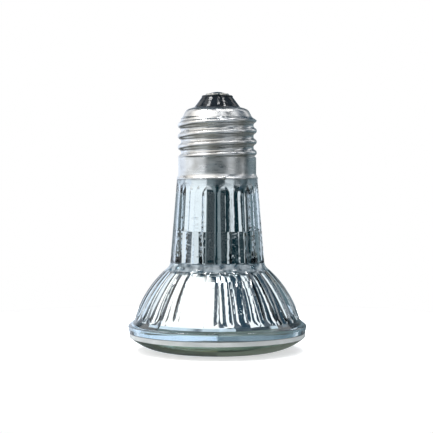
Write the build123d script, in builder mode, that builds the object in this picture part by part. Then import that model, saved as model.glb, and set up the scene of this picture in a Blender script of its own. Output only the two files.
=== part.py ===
"""Reflector lamp of fluted pressed glass with an E27 screw cap, standing on its lens.

The lamp axis is +Z. The flat middle of the lens front lies on z = 0, the cap points up,
and -Y is the front. Millimetres.
"""
import os
from math import asin, atan2, cos, degrees, radians, sin, sqrt

from build123d import *

# Lens: a dished disc with a plain edge, flat in the middle of its front
lens_radius = 29.35
lens_flat_radius = 17.0
lens_front_rise = 4.5
lens_edge_height = 1.45
lens_wall = 2.6
lens_land = 3.2

# Bond between the lens and the reflector flange
seal_thickness = 0.2
seal_inset = 0.3
seal_width = 2.2

# Reflector: flange, fluted bowl, smooth shoulder, fluted neck, spigot inside the cap
flange_foot_height = 1.75
flange_bead = 0.4
flange_top_rise = 2.4
flange_shelf = 1.85
bowl_height = 16.6
bowl_bulge = 1.42
shoulder_height = 2.6
shoulder_width = 1.55
neck_base_radius = 15.65
neck_length = 27.5
spigot_length = 5.7
spigot_wall = 2.2

# Inside of the reflector: rings of flat facets on a paraboloid, faceted bore with a ledge
rim_wall = 1.3
mouth_above_flange = 2.05
vertex_above_bowl = 7.3
mirror_rings = 9
facets_per_bowl_flute = 1
facets_per_neck_flute = 2
neck_wall = 2.8
neck_bore_taper = 0.15
ledge_width = 0.9
ledge_above_capsule = 5.5

# Flutes of the glass, measured from the front towards +X
bowl_flutes = 32
bowl_flute_phase = 7.0
bowl_flute_cutter = 8.0
bowl_flute_cover = 0.92
neck_flutes = 12
neck_flute_phase = 12.5
neck_flute_cutter = 11.0
neck_flute_cover = 0.93
neck_flute_foot = 0.45
neck_flute_head = 1.6

# E27 screw cap of sheet metal
sheet = 0.35
thread_crest = 13.15
thread_depth = 1.1
thread_pitch = 3.629
thread_height = 13.4
thread_turns = 4.7
thread_start = -1.9
thread_fade = 1.0
barrel_inset = 0.2
barrel_height = 5.0
flare_height = 1.6
lip_flare = 0.55
lip_height = 0.4
lip_overhang = 0.1
cement_width = 0.4
dome_side_inset = 0.4
dome_height = 3.4
dome_slope = 1.35
dome_round = 2.5
dome_crown = 0.75
mouth_of_cap = 7.8

# Insulator, eyelet and solder on top of the cap
insulator_inset = 0.2
insulator_top_radius = 5.2
insulator_cone = 3.3
insulator_lip = 0.6
insulator_hole = 1.3
eyelet_radius = 4.0
eyelet_thickness = 0.6
eyelet_tube = 4.0
contact_solder_radius = 2.9
contact_solder_height = 0.65

# Side solder and the route of the side lead, measured from the front towards +X
side_lead_angle = 9.5
side_solder_radius = 0.8
side_solder_rise = 0.4
lead_radius = 0.3
lead_clearance = 0.1
centre_lead_rise = 8.0

# Burner: quartz capsule, filament at the focus, foils and pins in the pinch
capsule_radius = 5.0
capsule_wall = 0.9
capsule_below_coil = 3.6
capsule_above_coil = 2.6
exhaust_tip_radius = 0.9
exhaust_tip_length = 1.2
pinch_width = 9.0
pinch_thickness = 3.0
pinch_length = 12.0
coil_radius = 0.9
coil_length = 8.0
coil_wire = 0.16
tail_wire = 0.22
tail_spread = 2.3
tail_inset = 1.2
tail_gap = 0.4
foil_width = 2.6
foil_length = 7.0
foil_thickness = 0.12
pin_radius = 0.4
pin_free_length = 5.0

# Burner holder of sheet metal
holder_sheet = 0.4
holder_ear_width = 4.0
holder_ear_height = 5.0
finger_width = 4.0
finger_height = 5.0
fingers = 3

# Clearance left between pieces that are put together
fit_gap = 0.05

# Radii that follow from the rim of the lens
flange_radius = lens_radius + flange_bead
bowl_rim_radius = lens_radius - flange_shelf
bowl_top_radius = neck_base_radius + shoulder_width
mouth_radius = bowl_rim_radius - rim_wall

# Radii that follow from the thread of the cap
thread_root = thread_crest - thread_depth
barrel_radius = thread_crest - barrel_inset
lip_radius = barrel_radius + lip_flare
dome_base_radius = thread_root - dome_side_inset
dome_corner_radius = dome_base_radius - dome_slope
insulator_radius = mouth_of_cap - insulator_inset
neck_top_radius = lip_radius - lip_overhang
spigot_radius = barrel_radius - sheet - cement_width
bore_top_radius = spigot_radius - spigot_wall

# Heights up the axis
z_lens_edge = lens_front_rise + lens_edge_height
z_flange = z_lens_edge + seal_thickness
z_bead = z_flange + flange_foot_height
z_bowl = z_bead + flange_top_rise
z_bowl_top = z_bowl + bowl_height
z_neck = z_bowl_top + shoulder_height
z_cap = z_neck + neck_length
z_spigot = z_cap + spigot_length
z_flare = z_cap + lip_height + flare_height
z_barrel = z_flare + barrel_height
z_dome = z_barrel + thread_height
z_cap_top = z_dome + dome_height
z_insulator = z_cap_top + insulator_cone + insulator_lip
z_eyelet = z_insulator + eyelet_thickness

# Mirror through the mouth and its vertex, with the coil of the burner at its focus
z_mouth = z_flange + mouth_above_flange
z_vertex = z_bowl_top + vertex_above_bowl
focal_length = mouth_radius**2 / (4 * (z_vertex - z_mouth))
z_focus = z_vertex - focal_length
z_coil = z_focus - coil_length / 2
z_capsule_low = z_coil - capsule_below_coil
z_capsule_high = z_coil + coil_length + capsule_above_coil
z_pinch = z_capsule_high + pinch_length
z_pin_end = z_pinch + pin_free_length
z_ledge = z_capsule_high + ledge_above_capsule

lead_slot = 2 * (lead_radius + lead_clearance)
front = -90.0


def parabola_height(radius):
    """Height of the reflecting paraboloid at a given radius."""
    return z_vertex - radius**2 / (4 * focal_length)


def neck_radius(height):
    """Radius of the plain neck, before its flutes, at a given height."""
    share = (height - z_neck) / neck_length
    return neck_base_radius + (neck_top_radius - neck_base_radius) * share


# Bore of the neck below its ledge and above it
neck_bore_radius = neck_radius(z_ledge) - neck_wall
ledge_bore_radius = neck_bore_radius - ledge_width


def flute_depth(radius, width, cutter):
    """Depth at the middle of a flute whose edges lie a given width apart on a round wall."""
    half = width / 2
    return cutter - sqrt(cutter**2 - half**2) + radius - sqrt(radius**2 - half**2)


# Cutter of one neck flute: a round bar with a ball end, leaning with the wall
neck_half_angle = radians(180 / neck_flutes * neck_flute_cover)
neck_flute_low = z_neck + neck_flute_foot
neck_flute_arch = neck_top_radius * sin(neck_half_angle)
neck_flute_high = z_cap - neck_flute_head - neck_flute_arch
neck_low_wall = neck_radius(neck_flute_low)
neck_high_wall = neck_radius(neck_flute_high)
neck_low_depth = flute_depth(neck_low_wall, 2 * neck_low_wall * sin(neck_half_angle), neck_flute_cutter)
neck_high_depth = flute_depth(neck_high_wall, 2 * neck_high_wall * sin(neck_half_angle), neck_flute_cutter)
neck_cut_start = Vector(neck_low_wall + neck_flute_cutter - neck_low_depth, 0, neck_flute_low)
neck_cut_end = Vector(neck_high_wall + neck_flute_cutter - neck_high_depth, 0, neck_flute_high)

with BuildPart() as neck_flute:
    with BuildSketch(Plane(origin=neck_cut_start, z_dir=neck_cut_end - neck_cut_start)):
        Circle(neck_flute_cutter)
    extrude(amount=(neck_cut_end - neck_cut_start).length)
    with Locations(neck_cut_end):
        Sphere(neck_flute_cutter)

# Cutter of one bowl flute: a round bar bent along the bowl, deeper where the bowl is wider
bowl_foot = Vector(bowl_rim_radius, 0, z_bowl)
bowl_head = Vector(bowl_top_radius, 0, z_bowl_top)
bowl_chord = (bowl_head - bowl_foot).length
bowl_arc_radius = (bowl_chord**2 / 4 + bowl_bulge**2) / (2 * bowl_bulge)
bowl_outward = Vector(z_bowl_top - z_bowl, 0, bowl_rim_radius - bowl_top_radius).normalized()
bowl_centre = (bowl_foot + bowl_head) * 0.5 - bowl_outward * (bowl_arc_radius - bowl_bulge)
bowl_foot_angle = atan2(bowl_foot.Z - bowl_centre.Z, bowl_foot.X - bowl_centre.X)
bowl_head_angle = atan2(bowl_head.Z - bowl_centre.Z, bowl_head.X - bowl_centre.X)
bowl_half_angle = radians(180 / bowl_flutes * bowl_flute_cover)
bowl_low_angle = bowl_foot_angle + (bowl_rim_radius * sin(bowl_half_angle) + 0.3) / bowl_arc_radius
bowl_high_angle = bowl_head_angle - (bowl_top_radius * sin(bowl_half_angle) - 0.4) / bowl_arc_radius


def bowl_cut_point(angle):
    """Centre of the bowl flute cutter at an angle along the bowl's arc."""
    outward = Vector(cos(angle), 0, sin(angle))
    wall = bowl_centre + outward * bowl_arc_radius
    depth = flute_depth(wall.X, 2 * wall.X * sin(bowl_half_angle), bowl_flute_cutter)
    return wall + outward * (bowl_flute_cutter - depth)


with BuildPart() as bowl_flute:
    with BuildLine():
        bowl_track = ThreePointArc(
            bowl_cut_point(bowl_low_angle),
            bowl_cut_point((bowl_low_angle + bowl_high_angle) / 2),
            bowl_cut_point(bowl_high_angle),
        )
    with BuildSketch(Plane(origin=bowl_track @ 0, z_dir=bowl_track % 0)):
        Circle(bowl_flute_cutter)
    bowl_turn = degrees(bowl_track.length / bowl_track.radius)
    revolve(axis=Axis(bowl_track.arc_center, (0, -1, 0)), revolution_arc=bowl_turn)
    with Locations(bowl_track @ 0, bowl_track @ 1):
        Sphere(bowl_flute_cutter)

# Cavity of the reflector, its facets in step with the flutes outside
mirror_facets = bowl_flutes * facets_per_bowl_flute
mirror_turn = front + bowl_flute_phase + 180 / bowl_flutes
bore_facets = neck_flutes * facets_per_neck_flute
bore_turn = front + neck_flute_phase + 180 / neck_flutes
throat_bore_radius = neck_bore_radius + neck_bore_taper
throat_radius = throat_bore_radius / cos(radians(180 / bore_facets)) + neck_bore_taper
z_throat = parabola_height(throat_radius)
ring_width = (mouth_radius - throat_radius) / mirror_rings
ring_radii = [mouth_radius - ring * ring_width for ring in range(mirror_rings + 1)]

with BuildPart() as cavity:
    with BuildSketch(Plane.XY.offset(z_flange)):
        Circle(mouth_radius)
    extrude(amount=z_mouth - z_flange)
    for wide_radius, narrow_radius in zip(ring_radii, ring_radii[1:]):
        with BuildSketch(Plane.XY.offset(parabola_height(wide_radius))):
            RegularPolygon(wide_radius, mirror_facets, rotation=mirror_turn)
        with BuildSketch(Plane.XY.offset(parabola_height(narrow_radius))):
            RegularPolygon(narrow_radius, mirror_facets, rotation=mirror_turn)
        loft(ruled=True)
    with BuildSketch(Plane.XY.offset(z_throat)):
        RegularPolygon(throat_bore_radius, bore_facets, major_radius=False, rotation=bore_turn)
    with BuildSketch(Plane.XY.offset(z_ledge)):
        RegularPolygon(neck_bore_radius, bore_facets, major_radius=False, rotation=bore_turn)
    loft(ruled=True)
    with BuildSketch(Plane.XY.offset(z_ledge)):
        RegularPolygon(ledge_bore_radius, bore_facets, major_radius=False, rotation=bore_turn)
    with BuildSketch(Plane.XY.offset(z_spigot)):
        RegularPolygon(bore_top_radius, bore_facets, major_radius=False, rotation=bore_turn)
    loft(ruled=True)

# Pressed-glass reflector
with BuildPart() as reflector:
    with BuildSketch(Plane.XZ):
        with BuildLine():
            outer_foot = Line((0, z_flange), (lens_radius, z_flange))
            outer_wall = Line(outer_foot @ 1, (flange_radius, z_bead))
            bead_top = (flange_radius - 0.5, z_bead + 0.9)
            bead = TangentArc(outer_wall @ 1, bead_top, tangent=outer_wall % 1)
            slope = Line(bead @ 1, (bowl_rim_radius, z_bowl))
            bowl_middle = bowl_centre + Vector(
                cos((bowl_foot_angle + bowl_head_angle) / 2), 0, sin((bowl_foot_angle + bowl_head_angle) / 2)
            ) * bowl_arc_radius
            bowl = ThreePointArc(slope @ 1, (bowl_middle.X, bowl_middle.Z), (bowl_top_radius, z_bowl_top))
            neck_foot = (neck_base_radius, z_neck)
            neck_lean = (neck_base_radius - neck_top_radius, -neck_length)
            shoulder = TangentArc(neck_foot, bowl @ 1, tangent=neck_lean)
            neck_side = Line(neck_foot, (neck_top_radius, z_cap))
            seat = Line(neck_side @ 1, (spigot_radius, z_cap))
            spigot_side = Line(seat @ 1, (spigot_radius, z_spigot))
            Polyline(spigot_side @ 1, (0, z_spigot), (0, z_flange))
        make_face()
    revolve(axis=Axis.Z)
    add(cavity.part, mode=Mode.SUBTRACT)
    with PolarLocations(0, neck_flutes, start_angle=front + neck_flute_phase):
        add(neck_flute.part, mode=Mode.SUBTRACT)
    with PolarLocations(0, bowl_flutes, start_angle=front + bowl_flute_phase):
        add(bowl_flute.part, mode=Mode.SUBTRACT)

    with Locations(Location((0, 0, 0), (0, 0, front + side_lead_angle))):
        with Locations((spigot_radius, 0, z_cap + spigot_length / 2)):
            Box(2 * lead_slot, lead_slot, spigot_length, mode=Mode.SUBTRACT)

# Lens
with BuildPart() as lens:
    with BuildSketch(Plane.XZ):
        with BuildLine():
            lens_flat = Line((0, 0), (lens_flat_radius, 0))
            lens_front = TangentArc(lens_flat @ 1, (lens_radius - 0.1, lens_front_rise), tangent=(1, 0))
            lens_edge = Polyline(
                lens_front @ 1,
                (lens_radius, lens_front_rise + 0.15),
                (lens_radius, z_lens_edge),
                (lens_radius - lens_land, z_lens_edge),
            )
            lens_back = TangentArc((lens_flat_radius, lens_wall), lens_edge @ 1, tangent=(1, 0))
            Polyline(lens_back @ 0, (0, lens_wall), (0, 0))
        make_face()
    revolve(axis=Axis.Z)

# Bonding line, set back from the edge so that it shows as a thin groove
with BuildPart() as rim_seal:
    with BuildSketch(Plane.XY.offset(z_lens_edge)):
        Circle(lens_radius - seal_inset)
        Circle(lens_radius - seal_inset - seal_width, mode=Mode.SUBTRACT)
    extrude(amount=seal_thickness)


# Thread form of the cap: half-round crest that runs smoothly into half-round roots
thread_round = (thread_depth**2 + (thread_pitch / 2) ** 2) / (4 * thread_depth)
crest_centre = Vector(thread_depth - thread_round, 0)
root_centre = Vector(thread_round, thread_pitch / 2)
crest_meets_root = (crest_centre + root_centre) * 0.5
ridge_foot = 0.9 * root_centre.Y
ridge_foot_rise = thread_round - sqrt(thread_round**2 - (root_centre.Y - ridge_foot) ** 2)
ridge_flank = (crest_meets_root.Y + ridge_foot) / 2
ridge_flank_rise = thread_round - sqrt(thread_round**2 - (root_centre.Y - ridge_flank) ** 2)
stem_radius = thread_root + 0.03

# Helical ridge of the thread, fading out into the barrel below and the dome above
with BuildPart() as thread_ridge:
    with BuildLine() as thread_path:
        Helix(
            pitch=thread_pitch,
            height=thread_turns * thread_pitch,
            radius=thread_root,
            center=(0, 0, z_barrel + thread_start),
        )
    with BuildSketch(Plane(origin=thread_path.line @ 0, x_dir=(1, 0, 0), z_dir=(0, 1, 0))):
        with BuildLine():
            lower_root = ThreePointArc(
                (ridge_foot_rise, -ridge_foot),
                (ridge_flank_rise, -ridge_flank),
                (crest_meets_root.X, -crest_meets_root.Y),
            )
            crest = ThreePointArc(
                lower_root @ 1, (thread_depth, 0), (crest_meets_root.X, crest_meets_root.Y)
            )
            upper_root = ThreePointArc(
                crest @ 1, (ridge_flank_rise, ridge_flank), (ridge_foot_rise, ridge_foot)
            )
            Polyline(upper_root @ 1, (-thread_depth, ridge_foot), (-thread_depth, -ridge_foot), lower_root @ 0)
        make_face()
    sweep(path=thread_path.line, is_frenet=True)
    with BuildSketch(Plane.XZ):
        with BuildLine():
            Polyline(
                (thread_root - 2 * thread_depth, z_flare),
                (barrel_radius - 0.1, z_flare),
                (barrel_radius - 0.1, z_barrel - 0.2),
                (thread_crest + 0.05, z_barrel + 0.8),
                (thread_crest + 0.05, z_dome - thread_fade),
                (dome_base_radius - 0.3, z_dome + 0.3),
                (thread_root - 2 * thread_depth, z_dome + 0.3),
                close=True,
            )
        make_face()
    revolve(axis=Axis.Z, mode=Mode.INTERSECT)


def cap_body(inset, foot):
    """Solid inside the cap's surface without its thread: outside at inset 0, inside at inset sheet."""
    with BuildPart() as body:
        with BuildSketch(Plane.XZ):
            with BuildLine():
                lip = Line((lip_radius - inset, z_cap - foot), (lip_radius - inset, z_cap + lip_height))
                flare = TangentArc((barrel_radius - inset, z_flare), lip @ 1, tangent=(0, -1))
                barrel = Line(flare @ 0, (barrel_radius - inset, z_barrel))
                step = Line(barrel @ 1, (stem_radius - inset, z_barrel + barrel_radius - stem_radius))
                stem = Line(step @ 1, (stem_radius - inset, z_dome - 2 * dome_side_inset))
                dome = FilletPolyline(
                    stem @ 1,
                    (dome_base_radius - inset, z_dome),
                    (dome_corner_radius - inset, z_cap_top - inset - dome_crown),
                    (mouth_of_cap, z_cap_top - inset),
                    radius=(dome_side_inset, dome_round - inset),
                )
                Polyline(dome @ 1, (0, z_cap_top - inset), (0, z_cap - foot), lip @ 0)
            make_face()
        revolve(axis=Axis.Z)
    return body.part


# Cap with its mouth, and the notch in the lip where the side lead comes out
with BuildPart() as screw_shell:
    add(cap_body(0, 0))
    add(thread_ridge.part)
    add(cap_body(sheet, sheet), mode=Mode.SUBTRACT)
    with Locations((0, 0, z_cap_top)):
        Cylinder(mouth_of_cap, 4 * sheet, mode=Mode.SUBTRACT)
    with Locations(Location((0, 0, 0), (0, 0, front + side_lead_angle))):
        with Locations((lip_radius, 0, z_cap)):
            Box(2 * (lip_radius - spigot_radius), lead_slot, 2 * lead_slot, mode=Mode.SUBTRACT)

# Insulator: fills the dome from inside, stands out of its mouth as a cone with a lip
with BuildPart() as insulator:
    lining = sheet + fit_gap
    lining_top = z_cap_top - lining
    with BuildSketch(Plane.XZ):
        with BuildLine():
            inside_dome = FilletPolyline(
                (dome_base_radius - lining, z_dome),
                (dome_corner_radius - lining, lining_top - dome_crown),
                (mouth_of_cap - fit_gap, lining_top),
                radius=dome_round - lining,
            )
            Polyline(
                inside_dome @ 1,
                (mouth_of_cap - fit_gap, z_cap_top),
                (insulator_radius, z_cap_top + 0.1),
                (insulator_top_radius, z_cap_top + insulator_cone),
                (insulator_top_radius, z_insulator - 0.2),
                (insulator_top_radius - 0.2, z_insulator),
                (insulator_hole, z_insulator),
                (insulator_hole, z_dome),
                inside_dome @ 0,
            )
        make_face()
    revolve(axis=Axis.Z)

# Eyelet: a plate on the insulator with a tube down its hole
with BuildPart() as centre_contact:
    tube_outer = insulator_hole - fit_gap
    tube_inner = lead_radius + fit_gap
    with BuildSketch(Plane.XZ):
        with BuildLine():
            Polyline(
                (tube_inner, z_insulator - eyelet_tube),
                (tube_outer, z_insulator - eyelet_tube),
                (tube_outer, z_insulator),
                (eyelet_radius, z_insulator),
                (eyelet_radius, z_insulator + eyelet_thickness / 2),
                (eyelet_radius - eyelet_thickness / 2, z_eyelet),
                (tube_inner, z_eyelet),
                (tube_inner, z_insulator - eyelet_tube),
            )
        make_face()
    revolve(axis=Axis.Z)

# Low dome of solder on the eyelet
with BuildPart() as contact_solder:
    with BuildSketch(Plane.XZ):
        with BuildLine():
            solder_foot = Line((0, z_eyelet), (contact_solder_radius, z_eyelet))
            solder_top = (0, z_eyelet + contact_solder_height)
            solder_skin = TangentArc(solder_top, solder_foot @ 1, tangent=(1, 0))
            Line(solder_top, (0, z_eyelet))
        make_face()
    revolve(axis=Axis.Z)

# Cement between the spigot and the barrel
with BuildPart() as basing_cement:
    with BuildSketch(Plane.XY.offset(z_flare)):
        Circle(barrel_radius - sheet)
        Circle(spigot_radius, mode=Mode.SUBTRACT)
    extrude(amount=z_spigot - z_flare)
    with Locations(Location((0, 0, 0), (0, 0, front + side_lead_angle))):
        with Locations((barrel_radius, 0, (z_flare + z_spigot) / 2)):
            Box(4 * lead_slot, lead_slot, 2 * spigot_length, mode=Mode.SUBTRACT)

# Burner capsule: blown bulb with an exhaust tip, flat pinch above it, sealed round its metal
z_foil = z_capsule_high + 2.2
z_pin = z_foil + foil_length
capsule_inner = capsule_radius - capsule_wall
tail_return = capsule_inner - tail_inset
tail_drop = sqrt((capsule_inner - tail_gap) ** 2 - tail_return**2)
z_tail_bend = z_capsule_low + capsule_radius - tail_drop

with BuildPart() as filament:
    with BuildSketch(Plane.XY.offset(z_coil)):
        Circle(coil_radius + coil_wire)
        Circle(coil_radius - coil_wire, mode=Mode.SUBTRACT)
    extrude(amount=coil_length)
    with BuildLine() as lower_tail:
        Polyline(
            (coil_radius, 0, z_coil + 0.1),
            (coil_radius, 0, z_tail_bend),
            (tail_return, 0, z_tail_bend),
            (tail_return, 0, z_capsule_high - 3.6),
            (tail_spread, 0, z_capsule_high - 2.2),
            (tail_spread, 0, z_foil),
        )
    with BuildSketch(Plane(origin=lower_tail.line @ 0, z_dir=lower_tail.line % 0)):
        Circle(tail_wire)
    sweep(path=lower_tail.line, transition=Transition.RIGHT)
    with BuildLine() as upper_tail:
        Polyline(
            (-coil_radius, 0, z_coil + coil_length - 0.1),
            (-coil_radius, 0, z_coil + coil_length + 0.5),
            (-tail_spread, 0, z_coil + coil_length + 0.9),
            (-tail_spread, 0, z_foil),
        )
    with BuildSketch(Plane(origin=upper_tail.line @ 0, z_dir=upper_tail.line % 0)):
        Circle(tail_wire)
    sweep(path=upper_tail.line, transition=Transition.RIGHT)

with BuildPart() as pinch_foil_left:
    with BuildSketch(Plane.XY.offset(z_foil)):
        with Locations((-tail_spread, 0)):
            Rectangle(foil_width, foil_thickness)
    extrude(amount=foil_length)

with BuildPart() as pinch_foil_right:
    with BuildSketch(Plane.XY.offset(z_foil)):
        with Locations((tail_spread, 0)):
            Rectangle(foil_width, foil_thickness)
    extrude(amount=foil_length)

with BuildPart() as pin_left:
    with BuildSketch(Plane.XY.offset(z_pin)):
        with Locations((-tail_spread, 0)):
            Circle(pin_radius)
    extrude(amount=z_pin_end - z_pin)

with BuildPart() as pin_right:
    with BuildSketch(Plane.XY.offset(z_pin)):
        with Locations((tail_spread, 0)):
            Circle(pin_radius)
    extrude(amount=z_pin_end - z_pin)

with BuildPart() as burner_envelope:
    with BuildSketch(Plane.XZ):
        with BuildLine():
            axis_line = Line((0, z_capsule_low - exhaust_tip_length), (0, z_capsule_high))
            CenterArc((0, z_capsule_high - capsule_radius), capsule_radius, 0, 90)
            side_top = (capsule_radius, z_capsule_high - capsule_radius)
            side_line = Line(side_top, (capsule_radius, z_capsule_low + capsule_radius))
            tip_turn = degrees(asin(exhaust_tip_radius / capsule_radius))
            base_arc = CenterArc((0, z_capsule_low + capsule_radius), capsule_radius, tip_turn - 90, 90 - tip_turn)
            Polyline(base_arc @ 0, (exhaust_tip_radius / 2, z_capsule_low - exhaust_tip_length), axis_line @ 0)
        make_face()
    revolve(axis=Axis.Z)
    with BuildSketch(Plane.XY.offset(z_capsule_high - capsule_radius)):
        RectangleRounded(pinch_width, pinch_thickness, pinch_thickness / 5)
    extrude(amount=pinch_length + capsule_radius)
    with BuildSketch(Plane.XZ):
        with BuildLine():
            Line((0, z_capsule_low + capsule_wall), (0, z_capsule_high - capsule_wall))
            CenterArc((0, z_capsule_high - capsule_radius), capsule_inner, 0, 90)
            inner_top = (capsule_inner, z_capsule_high - capsule_radius)
            Line(inner_top, (capsule_inner, z_capsule_low + capsule_radius))
            CenterArc((0, z_capsule_low + capsule_radius), capsule_inner, -90, 90)
        make_face()
    revolve(axis=Axis.Z, mode=Mode.SUBTRACT)
    with BuildSketch(Plane.XY.offset(z_capsule_high - 2.2)):
        with Locations((-tail_spread, 0), (tail_spread, 0)):
            Circle(tail_wire + fit_gap)
    extrude(amount=z_foil - z_capsule_high + 2.2, mode=Mode.SUBTRACT)
    with BuildSketch(Plane.XY.offset(z_foil)):
        with Locations((-tail_spread, 0), (tail_spread, 0)):
            Rectangle(foil_width + 2 * fit_gap, foil_thickness + 2 * fit_gap)
    extrude(amount=foil_length, mode=Mode.SUBTRACT)
    with BuildSketch(Plane.XY.offset(z_pin)):
        with Locations((-tail_spread, 0), (tail_spread, 0)):
            Circle(pin_radius + fit_gap)
    extrude(amount=pinch_length, mode=Mode.SUBTRACT)

# Holder: disc under the ledge of the bore, ears on the pinch, fingers up the narrower bore
with BuildPart() as burner_holder:
    disc_radius = neck_bore_radius - 3 * fit_gap
    with BuildSketch(Plane.XY.offset(z_ledge - holder_sheet)):
        Circle(disc_radius)
        Rectangle(pinch_width + 2 * fit_gap, pinch_thickness + 2 * fit_gap, mode=Mode.SUBTRACT)
    extrude(amount=holder_sheet)
    ear_middle = (pinch_thickness + holder_sheet) / 2 + fit_gap
    with BuildSketch(Plane.XY.offset(z_ledge - holder_sheet)):
        with Locations((0, ear_middle), (0, -ear_middle)):
            Rectangle(holder_ear_width, holder_sheet)
    extrude(amount=holder_ear_height)
    finger_share = finger_height / (z_spigot - z_ledge)
    finger_taper = (ledge_bore_radius - bore_top_radius) * finger_share
    finger_outer = ledge_bore_radius - finger_taper - 3 * fit_gap
    with BuildSketch(Plane.XY.offset(z_ledge - holder_sheet)):
        Circle(finger_outer)
        Circle(finger_outer - holder_sheet, mode=Mode.SUBTRACT)
        with PolarLocations(finger_outer, fingers, start_angle=90):
            Rectangle(finger_outer, finger_width, mode=Mode.INTERSECT)
    extrude(amount=finger_height)

# Leads: one up the middle to the eyelet, one over the spigot and out at the lip
with BuildPart() as centre_lead:
    with BuildLine() as centre_route:
        FilletPolyline(
            (tail_spread, 0, z_pin_end),
            (tail_spread, 0, z_pin_end + centre_lead_rise / 4),
            (0, 0, z_pin_end + centre_lead_rise),
            (0, 0, z_eyelet),
            radius=1.5,
        )
    with BuildSketch(Plane(origin=centre_route.line @ 0, z_dir=centre_route.line % 0)):
        Circle(lead_radius)
    sweep(path=centre_route.line)

side_way = Vector(cos(radians(front + side_lead_angle)), sin(radians(front + side_lead_angle)), 0)
z_over = z_spigot + lead_radius + 2 * fit_gap
z_out = z_cap + lead_radius + 2 * fit_gap
lead_wall_radius = barrel_radius - sheet - lead_radius - 2 * fit_gap

with BuildPart() as side_lead:
    with BuildLine() as side_route:
        FilletPolyline(
            (-tail_spread, 0, z_pin_end),
            (-tail_spread, 0, z_over),
            side_way * lead_wall_radius + Vector(0, 0, z_over),
            side_way * lead_wall_radius + Vector(0, 0, z_out),
            side_way * (lip_radius + 0.1) + Vector(0, 0, z_out),
            radius=lead_radius + 0.1,
        )
    with BuildSketch(Plane(origin=side_route.line @ 0, z_dir=side_route.line % 0)):
        Circle(lead_radius)
    sweep(path=side_route.line)

# Solder over the end of the side lead, on the lip of the cap
with BuildPart() as side_solder:
    solder_reach = lip_radius + side_solder_rise - side_solder_radius
    with Locations(side_way * solder_reach + Vector(0, 0, z_out)):
        Sphere(side_solder_radius)
    add(cap_body(0, sheet), mode=Mode.SUBTRACT)
    add(reflector.part, mode=Mode.SUBTRACT)
    add(side_lead.part, mode=Mode.SUBTRACT)

os.makedirs("parts", exist_ok=True)

reflector.part.label = "reflector"
export_step(reflector.part, "parts/reflector.step")

lens.part.label = "lens"
export_step(lens.part, "parts/lens.step")

rim_seal.part.label = "rim_seal"
export_step(rim_seal.part, "parts/rim_seal.step")

screw_shell.part.label = "screw_shell"
export_step(screw_shell.part, "parts/screw_shell.step")

insulator.part.label = "insulator"
export_step(insulator.part, "parts/insulator.step")

centre_contact.part.label = "centre_contact"
export_step(centre_contact.part, "parts/centre_contact.step")

contact_solder.part.label = "contact_solder"
export_step(contact_solder.part, "parts/contact_solder.step")

side_solder.part.label = "side_solder"
export_step(side_solder.part, "parts/side_solder.step")

basing_cement.part.label = "basing_cement"
export_step(basing_cement.part, "parts/basing_cement.step")

centre_lead.part.label = "centre_lead"
export_step(centre_lead.part, "parts/centre_lead.step")

side_lead.part.label = "side_lead"
export_step(side_lead.part, "parts/side_lead.step")

burner_envelope.part.label = "burner_envelope"
export_step(burner_envelope.part, "parts/burner_envelope.step")

filament.part.label = "filament"
export_step(filament.part, "parts/filament.step")

pinch_foil_left.part.label = "pinch_foil_left"
export_step(pinch_foil_left.part, "parts/pinch_foil_left.step")

pinch_foil_right.part.label = "pinch_foil_right"
export_step(pinch_foil_right.part, "parts/pinch_foil_right.step")

pin_left.part.label = "pin_left"
export_step(pin_left.part, "parts/pin_left.step")

pin_right.part.label = "pin_right"
export_step(pin_right.part, "parts/pin_right.step")

burner_holder.part.label = "burner_holder"
export_step(burner_holder.part, "parts/burner_holder.step")
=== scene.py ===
"""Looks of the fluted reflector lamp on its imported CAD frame.

Metres, in the frame of the CAD model: the lamp axis is +Z, the lens stands on z = 0 and -Y is
the front. Angles round the lamp are measured from the front, positive towards +X.
"""
import math

import bpy
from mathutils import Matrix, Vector


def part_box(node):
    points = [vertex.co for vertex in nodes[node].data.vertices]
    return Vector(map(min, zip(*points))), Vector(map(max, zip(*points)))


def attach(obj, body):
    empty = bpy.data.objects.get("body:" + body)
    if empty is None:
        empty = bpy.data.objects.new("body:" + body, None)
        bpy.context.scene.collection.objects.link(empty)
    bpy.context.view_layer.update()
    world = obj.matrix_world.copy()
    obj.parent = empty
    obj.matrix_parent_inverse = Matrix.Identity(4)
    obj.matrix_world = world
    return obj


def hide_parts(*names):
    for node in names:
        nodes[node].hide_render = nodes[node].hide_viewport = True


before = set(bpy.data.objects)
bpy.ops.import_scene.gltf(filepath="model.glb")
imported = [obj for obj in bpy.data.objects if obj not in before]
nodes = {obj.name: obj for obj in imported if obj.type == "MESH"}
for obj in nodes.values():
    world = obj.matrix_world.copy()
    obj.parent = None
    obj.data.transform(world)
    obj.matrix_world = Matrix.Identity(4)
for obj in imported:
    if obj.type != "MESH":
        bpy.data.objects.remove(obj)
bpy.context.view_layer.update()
mm = 0.001

# Camera, from the photograph: the ellipses of the rim and neck give its height and distance
image_size = 433
pixels_per_mm = 3.0
camera_distance = 440 * mm
camera_height = 57 * mm
aim_height = 44.5 * mm
axis_right_of_centre = 0.25 * mm
camera_near = 10 * mm

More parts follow.
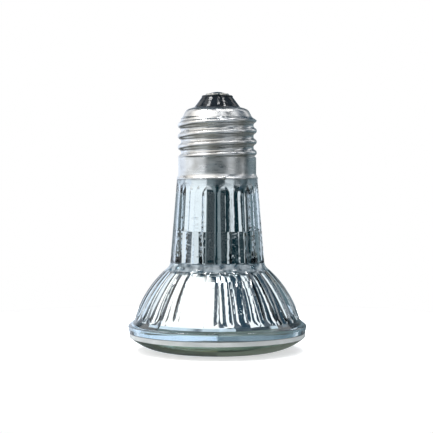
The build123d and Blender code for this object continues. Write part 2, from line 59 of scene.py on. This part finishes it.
# Studio: panels of light as (angle, elevation, half width, half height, edge, strength, tint), in
# degrees, each laid over those before it
white = (1.0, 1.0, 1.0)
soft_white = (0.97, 0.98, 1.0)
cool_white = (0.93, 0.97, 1.0)
dark_room = (0.033, 0.065, 0.095)
panels = {
    "low_room": (0, 2, 190, 18, 4, 1.0, (0.003, 0.020, 0.027)),
    "table": (0, -52, 190, 40, 3, 0.45, (1.0, 1.0, 0.96)),
    "shade_left": (-95, -62, 95, 10, 2, 0.20, (1.0, 1.05, 0.72)),
    "shade_right": (95, -56, 95, 16, 2, 0.03, (0.92, 1.0, 0.90)),
    "table_front": (0, -26, 60, 14, 3, 0.28, (0.82, 0.98, 1.08)),
    "table_left": (-130, -27, 70, 13, 3, 0.07, (0.95, 1.0, 0.92)),
    "table_back_left": (-130, -43, 60, 9, 2, 0.11, (0.92, 1.0, 0.86)),
    "table_right": (128, -33, 55, 17, 3, 0.16, (0.92, 1.0, 0.88)),
    "table_back_right": (100, -36, 24, 5, 2, 0.04, (0.92, 1.0, 0.90)),
    "skirt_left": (-116, -13, 17, 8, 2, 1.1, (0.90, 0.98, 1.08)),
    "skirt_front": (24, -14, 26, 3, 2, 1.0, (0.90, 0.97, 1.04)),
    "skirt_right": (116, -16, 32, 9, 2, 0.12, (0.72, 1.00, 1.15)),
    "back_left": (-146, 3, 42, 16, 5, 1.1, (0.88, 0.97, 1.10)),
    "back_right": (146, 3, 42, 16, 5, 0.25, (0.74, 1.00, 1.12)),
    "overhead_left": (-58, 45, 56, 21, 3, 1.5, (1.0, 0.97, 0.93)),
    "window_left": (-73, 9, 37, 12, 3, 1.15, cool_white),
    "window_front": (-17, 4, 7.5, 13, 1.5, 0.25, (0.80, 0.98, 1.05)),
    "window_right": (41, 6, 12, 9, 2, 0.95, cool_white),
    "window_far_right": (80, 9, 4.5, 12, 1.5, 0.95, cool_white),
    "low_left": (-88, -6.5, 13, 4, 1.5, 1.0, cool_white),
    "low_front": (-42, -5, 6, 3, 1.5, 1.0, cool_white),
    "low_right": (62, -6, 5, 3, 1.5, 0.8, cool_white),
    "front_card": (-3, 25, 30, 7, 3, 0.9, cool_white),
    "strip_right_1": (26, 50, 9, 28, 1.5, 1.4, soft_white),
    "strip_right_2": (80, 48, 9, 33, 1.5, 1.3, soft_white),
    "strip_right_3": (135, 40, 8, 33, 1.5, 1.2, soft_white),
    "strip_left": (-137, 30, 10, 15, 2, 1.1, soft_white),
    "spot_left": (-80, 62, 9, 4, 1, 24.0, white),
    "spot_front": (17, 72, 6, 5, 1, 24.0, white),
    "spot_right": (76, 64, 6, 4, 1, 24.0, white),
}
background_white = 1.0

# Floor of pale paper, and the light that falls on it
floor_radius = 0.15
floor_corners = 128
floor_drop = 0.1 * mm
floor_light = 3.2
floor_light_spread = 50
floor_light_tilt = (-18, -10)

# Heights above the lens front at which the glass changes its finish
shoulder_low = 26.9 * mm
shoulder_high = 29.5 * mm
ripple_start = 29.5 * mm
ripple_full = 31.0 * mm
frost_start = 53.0 * mm
frost_full = 56.0 * mm

# Bands of the reflector above its foot, and of the lens below its top and inside its rim
clear_mouth = 2.0 * mm
flange_band = 4.1 * mm
lens_edge_band = 1.5 * mm
lens_edge_depth = 0.12 * mm

# Coil of the burner, in the place of its plain CAD tube
coil_turns = 15
coil_steps = 28
coil_wire_radius = 0.16 * mm
coil_length = 8.0 * mm
coil_foot_rise = 1.1 * mm
tail_radius = 0.2 * mm
tail_top_rise = 0.9 * mm
tail_bend_start = 4.3 * mm
tail_bend_end = 5.8 * mm


def feed(tree, socket, value):
    """Link a socket to a value that is a socket itself, or set it."""
    if isinstance(value, bpy.types.NodeSocket):
        tree.links.new(value, socket)
    else:
        socket.default_value = value


def calculate(tree, operation, *values):
    """Output of a math node."""
    node = tree.nodes.new("ShaderNodeMath")
    node.operation = operation
    for socket, value in zip(node.inputs, values):
        feed(tree, socket, value)
    return node.outputs[0]


def remap(tree, value, low, high, to_low, to_high, smooth=False):
    """Value taken from one range to another and held at its ends."""
    node = tree.nodes.new("ShaderNodeMapRange")
    node.interpolation_type = "SMOOTHSTEP" if smooth else "LINEAR"
    feed(tree, node.inputs["Value"], value)
    node.inputs["From Min"].default_value = low
    node.inputs["From Max"].default_value = high
    node.inputs["To Min"].default_value = to_low
    node.inputs["To Max"].default_value = to_high
    return node.outputs["Result"]


class Finish:
    """One procedural material, with its Principled shader and patterns in object coordinates."""

    def __init__(self, name):
        self.material = bpy.data.materials.new(name)
        self.material.use_nodes = True
        self.tree = self.material.node_tree
        self.shader = self.tree.nodes["Principled BSDF"]
        self.place = self.tree.nodes.new("ShaderNodeTexCoord").outputs["Object"]
        self.relief = None

    def set(self, **values):
        """Constants on the shader's own sockets."""
        for name, value in values.items():
            self.shader.inputs[name.replace("_", " ").title().replace("Ior", "IOR")].default_value = value
        return self

    def noise(self, size, detail=3.0, stretch=(1, 1, 1)):
        """Cloudy pattern with features of a given size, stretched along the axes."""
        mapping = self.tree.nodes.new("ShaderNodeMapping")
        mapping.inputs["Scale"].default_value = [1 / (size * s) for s in stretch]
        self.tree.links.new(self.place, mapping.inputs["Vector"])
        node = self.tree.nodes.new("ShaderNodeTexNoise")
        node.inputs["Scale"].default_value = 1.0
        node.inputs["Detail"].default_value = detail
        self.tree.links.new(mapping.outputs["Vector"], node.inputs["Vector"])
        return node.outputs["Fac"]

    def cells(self, size):
        """Distance to the nearest of scattered points, in units of their spacing."""
        node = self.tree.nodes.new("ShaderNodeTexVoronoi")
        node.inputs["Scale"].default_value = 1 / size
        self.tree.links.new(self.place, node.inputs["Vector"])
        return node.outputs["Distance"]

    def height(self):
        """Height above the lens front."""
        split = self.tree.nodes.new("ShaderNodeSeparateXYZ")
        self.tree.links.new(self.place, split.inputs[0])
        return split.outputs["Z"]

    def colour(self, pattern, *stops):
        """Base colour from a pattern through (position, colour) stops."""
        ramp = self.tree.nodes.new("ShaderNodeValToRGB")
        elements = ramp.color_ramp.elements
        while len(elements) < len(stops):
            elements.new(0.5)
        for element, (position, colour) in zip(elements, stops):
            element.position = position
            element.color = (*colour, 1)
        self.tree.links.new(pattern, ramp.inputs["Fac"])
        self.tree.links.new(ramp.outputs["Color"], self.shader.inputs["Base Color"])
        return self

    def roughness(self, pattern, low, high):
        """Roughness that follows a pattern."""
        self.tree.links.new(remap(self.tree, pattern, 0.3, 0.7, low, high), self.shader.inputs["Roughness"])
        return self

    def bump(self, pattern, depth):
        """Relief of a given depth, added to what is there."""
        node = self.tree.nodes.new("ShaderNodeBump")
        node.inputs["Distance"].default_value = depth
        self.tree.links.new(pattern, node.inputs["Height"])
        if self.relief:
            self.tree.links.new(self.relief, node.inputs["Normal"])
        self.relief = node.outputs["Normal"]
        self.tree.links.new(self.relief, self.shader.inputs["Normal"])
        return self


# Glass
pressed = Finish("pressed_glass").set(transmission_weight=1.0, ior=1.5)
pressed.colour(pressed.noise(9 * mm), (0.3, (0.86, 0.93, 0.96)), (0.7, (0.92, 0.96, 0.98)))
pressed_skin = remap(pressed.tree, pressed.noise(5 * mm), 0.3, 0.7, 0.005, 0.02)
frosted_ring = remap(pressed.tree, pressed.height(), frost_start, frost_full, 0.0, 0.35, True)
pressed_roughness = calculate(pressed.tree, "ADD", pressed_skin, frosted_ring)
feed(pressed.tree, pressed.shader.inputs["Roughness"], pressed_roughness)
pressed.bump(pressed.noise(6 * mm, 2.0), 0.02 * mm)
seed_bubbles = remap(pressed.tree, pressed.cells(3 * mm), 0.0, 0.06, 1.0, 0.0, True)
pressed.bump(seed_bubbles, 0.05 * mm)
neck_part = remap(pressed.tree, pressed.height(), ripple_start, ripple_full, 0.0, 1.0, True)
ripples = pressed.noise(4 * mm, 1.0, (1.5, 1.5, 0.45))
pressed.bump(calculate(pressed.tree, "MULTIPLY", ripples, neck_part), 0.15 * mm)

flange = Finish("flange_glass").set(transmission_weight=0.95, ior=1.5)
flange.colour(flange.noise(7 * mm), (0.3, (0.68, 0.84, 0.95)), (0.7, (0.80, 0.92, 0.99)))
flange.roughness(flange.noise(4 * mm), 0.01, 0.04)
flange.bump(flange.noise(3 * mm, 2.0), 0.01 * mm)

# Shoulder band: its roughness and bumps are the skin of the mould, and the dark and pale mottle of its
# half-diffuse colour is painted reflection
shoulder = Finish("shoulder_glass_painted_reflection").set(transmission_weight=0.5, ior=1.5)
shoulder.colour(shoulder.noise(2.5 * mm, 5.0), (0.38, (0.08, 0.14, 0.18)), (0.60, (0.58, 0.67, 0.73)))
shoulder.roughness(shoulder.noise(3 * mm), 0.06, 0.15)
shoulder.bump(shoulder.noise(2 * mm, 2.0), 0.02 * mm)

mirror = Finish("mirror_coat").set(metallic=1.0)
mirror.colour(mirror.noise(6 * mm), (0.3, (0.84, 0.87, 0.88)), (0.7, (0.92, 0.94, 0.94)))
mirror.roughness(mirror.noise(2 * mm), 0.01, 0.04)
mirror.bump(mirror.noise(4 * mm, 2.0), 0.008 * mm)

clear = Finish("lens_glass").set(transmission_weight=1.0, ior=1.5)
clear.colour(clear.noise(12 * mm), (0.3, (0.68, 0.80, 0.71)), (0.7, (0.79, 0.90, 0.81)))
clear.roughness(clear.noise(6 * mm), 0.01, 0.04)
clear.bump(clear.noise(5 * mm, 2.0), 0.02 * mm)

moulded = Finish("lens_edge_glass").set(transmission_weight=0.35, ior=1.5)
moulded.colour(moulded.noise(6 * mm), (0.3, (0.52, 0.55, 0.55)), (0.7, (0.68, 0.71, 0.71)))
moulded.roughness(moulded.noise(2 * mm), 0.3, 0.45)
moulded.bump(moulded.noise(1.5 * mm, 2.0), 0.01 * mm)

quartz = Finish("quartz").set(transmission_weight=1.0, ior=1.46)
quartz.colour(quartz.noise(4 * mm), (0.3, (0.93, 0.95, 0.96)), (0.7, (0.98, 0.99, 0.99)))
quartz.roughness(quartz.noise(2 * mm), 0.01, 0.05)
quartz.bump(quartz.noise(1.5 * mm, 2.0), 0.02 * mm)

black = Finish("black_glass").set(ior=1.52, specular_ior_level=0.25)
black.colour(black.noise(3 * mm), (0.3, (0.007, 0.009, 0.012)), (0.7, (0.020, 0.026, 0.033)))
black.roughness(black.noise(1.5 * mm), 0.02, 0.07)
black.bump(black.noise(1.3 * mm, 2.0), 0.10 * mm)

# Metals
nickel = Finish("nickel_plate").set(metallic=1.0)
nickel.colour(
    nickel.noise(5 * mm, 5.0),
    (0.32, (0.57, 0.56, 0.54)), (0.48, (0.75, 0.745, 0.735)), (0.62, (0.84, 0.845, 0.85)),
)
nickel.roughness(nickel.noise(1.6 * mm, 4.0, (3, 3, 0.5)), 0.23, 0.40)
nickel.bump(nickel.noise(1.2 * mm, 4.0, (6, 6, 0.25)), 0.006 * mm)
nickel.bump(nickel.noise(2.5 * mm, 2.0), 0.02 * mm)

eyelet = Finish("eyelet_metal").set(metallic=1.0)
eyelet.colour(eyelet.noise(1.5 * mm), (0.3, (0.66, 0.63, 0.57)), (0.7, (0.82, 0.80, 0.76)))
eyelet.roughness(eyelet.noise(0.6 * mm), 0.22, 0.42)
eyelet.bump(eyelet.noise(0.5 * mm), 0.01 * mm)

solder = Finish("solder").set(metallic=1.0)
solder.colour(solder.noise(0.8 * mm), (0.3, (0.70, 0.70, 0.70)), (0.7, (0.88, 0.88, 0.87)))
solder.roughness(solder.noise(0.4 * mm), 0.12, 0.35)
solder.bump(solder.noise(0.6 * mm), 0.03 * mm)

wire = Finish("lead_wire").set(metallic=1.0)
wire.colour(wire.noise(1 * mm), (0.3, (0.55, 0.53, 0.50)), (0.7, (0.72, 0.70, 0.67)))
wire.roughness(wire.noise(0.5 * mm), 0.2, 0.4)
wire.bump(wire.noise(0.3 * mm), 0.004 * mm)

tungsten = Finish("tungsten").set(metallic=1.0)
tungsten.colour(tungsten.noise(0.5 * mm), (0.3, (0.20, 0.20, 0.21)), (0.7, (0.34, 0.33, 0.33)))
tungsten.roughness(tungsten.noise(0.2 * mm), 0.3, 0.5)
tungsten.bump(tungsten.noise(0.12 * mm), 0.003 * mm)

foil = Finish("molybdenum").set(metallic=1.0)
foil.colour(foil.noise(0.7 * mm), (0.3, (0.45, 0.45, 0.46)), (0.7, (0.60, 0.60, 0.61)))
foil.roughness(foil.noise(0.3 * mm), 0.25, 0.45)
foil.bump(foil.noise(0.4 * mm), 0.006 * mm)

holder = Finish("holder_sheet").set(metallic=1.0)
holder.colour(holder.noise(3 * mm), (0.3, (0.56, 0.56, 0.55)), (0.7, (0.72, 0.72, 0.71)))
holder.roughness(holder.noise(1 * mm, 3.0, (4, 1, 1)), 0.22, 0.4)
holder.bump(holder.noise(0.8 * mm, 3.0, (5, 1, 1)), 0.005 * mm)

# Bond and cement
sealant = Finish("sealant").set(ior=1.45)
sealant.colour(sealant.noise(2 * mm), (0.3, (0.15, 0.18, 0.20)), (0.7, (0.25, 0.29, 0.31)))
sealant.roughness(sealant.noise(0.8 * mm), 0.35, 0.6)
sealant.bump(sealant.noise(0.6 * mm), 0.02 * mm)

cement = Finish("cement")
cement.colour(cement.noise(0.7 * mm, 6.0), (0.3, (0.52, 0.48, 0.42)), (0.7, (0.68, 0.64, 0.57)))
cement.roughness(cement.noise(0.5 * mm), 0.75, 0.95)
cement.bump(cement.cells(0.4 * mm), 0.05 * mm)

finishes = {
    "reflector": pressed,
    "lens": clear,
    "rim_seal": sealant,
    "screw_shell": nickel,
    "insulator": black,
    "centre_contact": eyelet,
    "contact_solder": solder,
    "side_solder": solder,
    "basing_cement": cement,
    "centre_lead": wire,
    "side_lead": wire,
    "burner_envelope": quartz,
    "filament": tungsten,
    "pinch_foil_left": foil,
    "pinch_foil_right": foil,
    "pin_left": foil,
    "pin_right": foil,
    "burner_holder": holder,
}
for name, finish in finishes.items():
    nodes[name].data.materials.clear()
    nodes[name].data.materials.append(finish.material)

# The mirror coat lies on the inside of the reflector, above the clear band at its mouth. Outside, the
# flange keeps the skin of its mould, and so does the shoulder, whose dark and pale colour is also painted
# reflection.
reflector = nodes["reflector"].data
for finish in (mirror, flange, shoulder):
    reflector.materials.append(finish.material)
coat_slot, flange_slot, shoulder_slot = 1, 2, 3
coat_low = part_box("reflector")[0].z + clear_mouth
flange_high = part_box("reflector")[0].z + flange_band
least_facing = 0.05
for face in reflector.polygons:
    outward = Vector((face.center.x, face.center.y, 0)).normalized()
    facing = face.normal.dot(outward)
    if face.center.z > coat_low and facing < -least_facing:
        face.material_index = coat_slot
    elif face.center.z < flange_high and facing > least_facing:
        face.material_index = flange_slot
    elif shoulder_low < face.center.z < shoulder_high and facing > least_facing:
        face.material_index = shoulder_slot

# So does the edge of the lens
lens = nodes["lens"].data
lens.materials.append(moulded.material)
edge_slot = 1
edge_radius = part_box("lens")[1].x - lens_edge_depth
edge_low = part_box("lens")[1].z - lens_edge_band
for face in lens.polygons:
    if face.center.z > edge_low and math.hypot(face.center.x, face.center.y) > edge_radius:
        face.material_index = edge_slot

# Filament: a close coil with its tails bent back to the foils
coil_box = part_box("filament")
coil_radius = coil_box[1].y - coil_wire_radius
coil_foot = coil_box[0].z + coil_foot_rise
tail_out = coil_box[1].x - tail_radius
tail_foil = -coil_box[0].x - tail_radius
coil_points = []
for step in range(coil_turns * coil_steps + 1):
    turn = 2 * math.pi * step / coil_steps
    rise = coil_length * step / (coil_turns * coil_steps)
    coil_points.append((coil_radius * math.cos(turn), coil_radius * math.sin(turn), coil_foot + rise))
lower_tail = [
    (tail_foil, 0, coil_box[1].z),
    (tail_foil, 0, coil_box[1].z - tail_bend_start),
    (tail_out, 0, coil_box[1].z - tail_bend_end),
    (tail_out, 0, coil_box[0].z + tail_radius),
    (coil_radius, 0, coil_box[0].z + tail_radius),
]
upper_tail = [
    (-tail_foil, 0, coil_foot + coil_length + tail_top_rise),
    (-tail_foil, 0, coil_box[1].z),
]
filament_curve = bpy.data.curves.new("filament_coil", "CURVE")
filament_curve.dimensions = "3D"
filament_curve.bevel_depth = coil_wire_radius
filament_curve.bevel_resolution = 2
filament_curve.use_fill_caps = True
filament_path = lower_tail + coil_points + upper_tail
filament_spline = filament_curve.splines.new("POLY")
filament_spline.points.add(len(filament_path) - 1)
for point, place in zip(filament_spline.points, filament_path):
    point.co = (*place, 1)
filament_coil = bpy.data.objects.new("filament_coil", filament_curve)
bpy.context.scene.collection.objects.link(filament_coil)
filament_curve.materials.append(tungsten.material)
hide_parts("filament")
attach(filament_coil, "root")

# Plain pale floor, which glows a little and isn't seen in the glass and the metal
floor_mesh = bpy.data.meshes.new("floor")
floor_turns = [2 * math.pi * step / floor_corners for step in range(floor_corners)]
floor_edge = [(floor_radius * math.cos(turn), floor_radius * math.sin(turn), 0) for turn in floor_turns]
floor_mesh.from_pydata(floor_edge, [], [range(len(floor_edge))])
floor = bpy.data.objects.new("floor", floor_mesh)
floor.location.z = -floor_drop
bpy.context.scene.collection.objects.link(floor)
floor.visible_glossy = False
floor.visible_transmission = False
paper = Finish("paper").set(emission_color=(1, 1, 1, 1), emission_strength=0.6)
paper.colour(paper.noise(40 * mm), (0.3, (0.86, 0.86, 0.86)), (0.7, (0.88, 0.88, 0.88)))
paper.roughness(paper.noise(3 * mm), 0.8, 0.95)
floor_mesh.materials.append(paper.material)

# Studio light: panels in a dark room, and a white ground where the camera looks past the lamp
world = bpy.data.worlds.new("studio")
world.use_nodes = True
bpy.context.scene.world = world
sky = world.node_tree
background = sky.nodes["Background"]
split = sky.nodes.new("ShaderNodeSeparateXYZ")
sky.links.new(sky.nodes.new("ShaderNodeTexCoord").outputs["Generated"], split.inputs[0])
angle = calculate(sky, "ARCTAN2", split.outputs["X"], calculate(sky, "MULTIPLY", split.outputs["Y"], -1.0))
elevation = calculate(sky, "ARCSINE", split.outputs["Z"])
light = (*dark_room, 1)
for panel_angle, panel_elevation, half_width, half_height, edge, strength, tint in panels.values():
    across = calculate(sky, "ABSOLUTE", calculate(sky, "SUBTRACT", angle, math.radians(panel_angle)))
    up = calculate(sky, "ABSOLUTE", calculate(sky, "SUBTRACT", elevation, math.radians(panel_elevation)))
    beside = remap(sky, across, math.radians(half_width - edge), math.radians(half_width + edge), 1, 0, True)
    above = remap(sky, up, math.radians(half_height - edge), math.radians(half_height + edge), 1, 0, True)
    shape = calculate(sky, "MULTIPLY", beside, above)
    mix = sky.nodes.new("ShaderNodeMixRGB")
    sky.links.new(shape, mix.inputs["Fac"])
    feed(sky, mix.inputs["Color1"], light)
    mix.inputs["Color2"].default_value = (*[strength * part for part in tint], 1)
    light = mix.outputs["Color"]
seen = sky.nodes.new("ShaderNodeLightPath").outputs["Is Camera Ray"]
ground = sky.nodes.new("ShaderNodeMixRGB")
sky.links.new(seen, ground.inputs["Fac"])
sky.links.new(light, ground.inputs["Color1"])
ground.inputs["Color2"].default_value = (background_white, background_white, background_white, 1)
sky.links.new(ground.outputs["Color"], background.inputs["Color"])

# Soft light from above, behind and the left, for the floor
sun_data = bpy.data.lights.new("top_light", "SUN")
sun_data.energy = floor_light
sun_data.angle = math.radians(floor_light_spread)
sun = bpy.data.objects.new("top_light", sun_data)
sun.rotation_euler = (*[math.radians(tilt) for tilt in floor_light_tilt], 0)
sun.visible_glossy = False
sun.visible_transmission = False
bpy.context.scene.collection.objects.link(sun)

# Camera
camera_data = bpy.data.cameras.new("camera")
camera = bpy.data.objects.new("camera", camera_data)
bpy.context.scene.collection.objects.link(camera)
camera.location = (-axis_right_of_centre, -camera_distance, camera_height)
sight = Vector((-axis_right_of_centre, 0, aim_height)) - camera.location
camera.rotation_euler = sight.to_track_quat("-Z", "Y").to_euler()
camera_data.lens = camera_data.sensor_width * sight.length * pixels_per_mm / (image_size * mm)
camera_data.clip_start = camera_near
bpy.context.scene.camera = camera
bpy.context.scene.view_settings.view_transform = "Standard"
